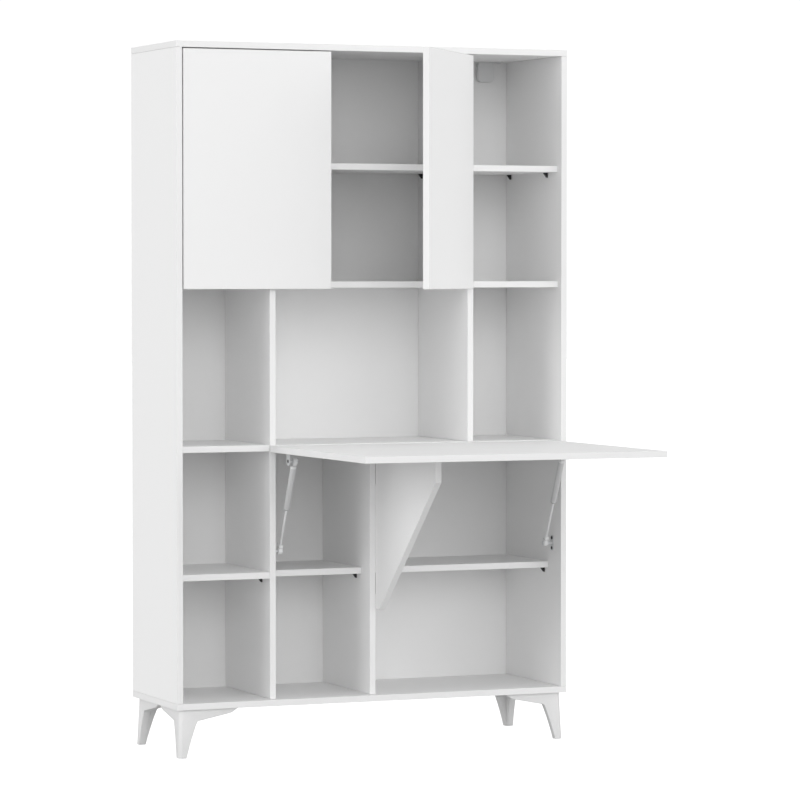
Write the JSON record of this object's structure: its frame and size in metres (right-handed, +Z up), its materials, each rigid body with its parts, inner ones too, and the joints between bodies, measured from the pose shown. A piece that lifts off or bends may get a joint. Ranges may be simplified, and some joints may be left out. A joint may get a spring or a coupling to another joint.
{
  "type": "secretary desk",
  "caption": "Tall white bookcase on splayed feet with inset doors above and a fold-out desk leaf carried by a swinging support and gas struts.",
  "frame": {"origin": "centre of the overall box, on the floor, in the pose with the leaf out", "axes": "+Z up, +X to the right seen from the front, +Y to the back; the doors and the leaf face -Y"},
  "size_m": [1.0736, 0.9564, 1.79],
  "materials": {
    "white_laminate": "matte white melamine laminate on board, with edge banding",
    "back_sheet": "thin white-faced fibreboard sheet",
    "foot_plastic": "satin white moulded plastic",
    "hinge_steel": "nickel-plated pressed steel",
    "strut_tube_grey": "satin grey paint",
    "strut_rod_chrome": "polished rod",
    "bracket_grey": "light grey coated steel",
    "hanger_grey": "grey moulded plastic"
  },
  "bodies": {
    "carcass": {"bottom_panel": "white_laminate", "top_panel": "white_laminate", "left_side_panel": "white_laminate", "right_side_panel": "white_laminate", "back_sheet_left": "back_sheet", "back_sheet_right": "back_sheet", "back_sheet_upper": "back_sheet", "left_divider": "white_laminate", "lower_divider": "white_laminate", "right_divider": "white_laminate", "upper_divider": "white_laminate", "upper_floor": "white_laminate", "desk_board": "white_laminate", "left_desk_shelf": "white_laminate", "left_lower_shelf": "white_laminate", "upper_shelf_wide": "white_laminate", "upper_shelf_right": "white_laminate", "lower_shelf_middle": "white_laminate", "lower_shelf_right": "white_laminate", "foot_front_left": "foot_plastic", "foot_front_right": "foot_plastic", "foot_back_right": "foot_plastic", "foot_back_left": "foot_plastic", "wall_hanger_right": "hanger_grey", "wall_hanger_left": "hanger_grey", "left_hinge_arm_lower": "hinge_steel", "left_hinge_arm_upper": "hinge_steel", "right_hinge_arm_lower": "hinge_steel", "right_hinge_arm_upper": "hinge_steel", "leaf_hinge_fixed_left": "hinge_steel", "leaf_hinge_fixed_right": "hinge_steel", "support_hinge_fixed_lower": "hinge_steel", "support_hinge_fixed_upper": "hinge_steel", "strut_mount_low_left": "bracket_grey", "strut_mount_low_right": "bracket_grey"},
    "left_door": {"left_door": "white_laminate", "left_hinge_cup_lower": "hinge_steel", "left_hinge_cup_upper": "hinge_steel"},
    "left_door_links": {"left_hinge_link_lower": "hinge_steel", "left_hinge_link_upper": "hinge_steel"},
    "right_door": {"right_door": "white_laminate", "right_hinge_cup_lower": "hinge_steel", "right_hinge_cup_upper": "hinge_steel"},
    "right_door_links": {"right_hinge_link_lower": "hinge_steel", "right_hinge_link_upper": "hinge_steel"},
    "leaf": {"desk_leaf": "white_laminate", "leaf_hinge_moving_left": "hinge_steel", "leaf_hinge_moving_right": "hinge_steel", "strut_mount_high_left": "bracket_grey", "strut_mount_high_right": "bracket_grey"},
    "support": {"swing_support": "white_laminate", "support_hinge_moving_lower": "hinge_steel", "support_hinge_moving_upper": "hinge_steel"},
    "strut_rod_left": {"strut_rod_left": "strut_rod_chrome"},
    "strut_tube_left": {"strut_tube_left": "strut_tube_grey"},
    "strut_rod_right": {"strut_rod_right": "strut_rod_chrome"},
    "strut_tube_right": {"strut_tube_right": "strut_tube_grey"}
  },
  "joints": [
    {"name": "left_door_hinge", "type": "hinge", "parent": "carcass", "child": "left_door", "pos_m": [-0.50675, 0.13185, 1.472], "axis": [0, 0, -1], "range_deg": [0, 95]},
    {"name": "left_links_pivot", "type": "hinge", "parent": "left_door", "child": "left_door_links", "pos_m": [-0.49375, 0.14185, 1.472], "axis": [0, 0, -1], "range_deg": [-85.5, 0]},
    {"name": "right_door_hinge", "type": "hinge", "parent": "carcass", "child": "right_door", "pos_m": [0.26785, 0.13185, 1.472], "axis": [0, 0, 1], "range_deg": [-50, 45]},
    {"name": "right_links_pivot", "type": "hinge", "parent": "right_door", "child": "right_door_links", "pos_m": [0.25183, 0.12832, 1.472], "axis": [0, 0, 1], "range_deg": [-40.5, 45]},
    {"name": "leaf_hinge", "type": "hinge", "parent": "carcass", "child": "leaf", "pos_m": [0.11825, 0.15085, 0.7593], "axis": [-1, 0, 0], "range_deg": [0, 3]},
    {"name": "support_swing", "type": "hinge", "parent": "carcass", "child": "support", "pos_m": [0.00995, 0.15505, 0.562], "axis": [0, 0, 1], "range_deg": [0, 90]},
    {"name": "strut_pivot_left", "type": "hinge", "parent": "carcass", "child": "strut_rod_left", "pos_m": [-0.24375, 0.18185, 0.5095], "axis": [1, 0, 0], "range_deg": [-1, 1]},
    {"name": "strut_slide_left", "type": "slide", "parent": "strut_rod_left", "child": "strut_tube_left", "axis": [0, -0.4083, 0.9128], "range_m": [0, 0.0039]},
    {"name": "strut_pivot_right", "type": "hinge", "parent": "carcass", "child": "strut_rod_right", "pos_m": [0.49925, 0.18185, 0.5095], "axis": [1, 0, 0], "range_deg": [-1, 1]},
    {"name": "strut_slide_right", "type": "slide", "parent": "strut_rod_right", "child": "strut_tube_right", "axis": [0, -0.4083, 0.9128], "range_m": [0, 0.0039]}
  ],
  "couplings": [
    {"joint": "left_links_pivot", "follows": "left_door_hinge", "ratio": -0.9},
    {"joint": "right_links_pivot", "follows": "right_door_hinge", "ratio": -0.9},
    {"joint": "strut_pivot_left", "follows": "leaf_hinge", "ratio": -0.061647},
    {"joint": "strut_slide_left", "follows": "leaf_hinge", "m_per_rad": 0.073326},
    {"joint": "strut_pivot_right", "follows": "leaf_hinge", "ratio": -0.061647},
    {"joint": "strut_slide_right", "follows": "leaf_hinge", "m_per_rad": 0.073326}
  ]
}
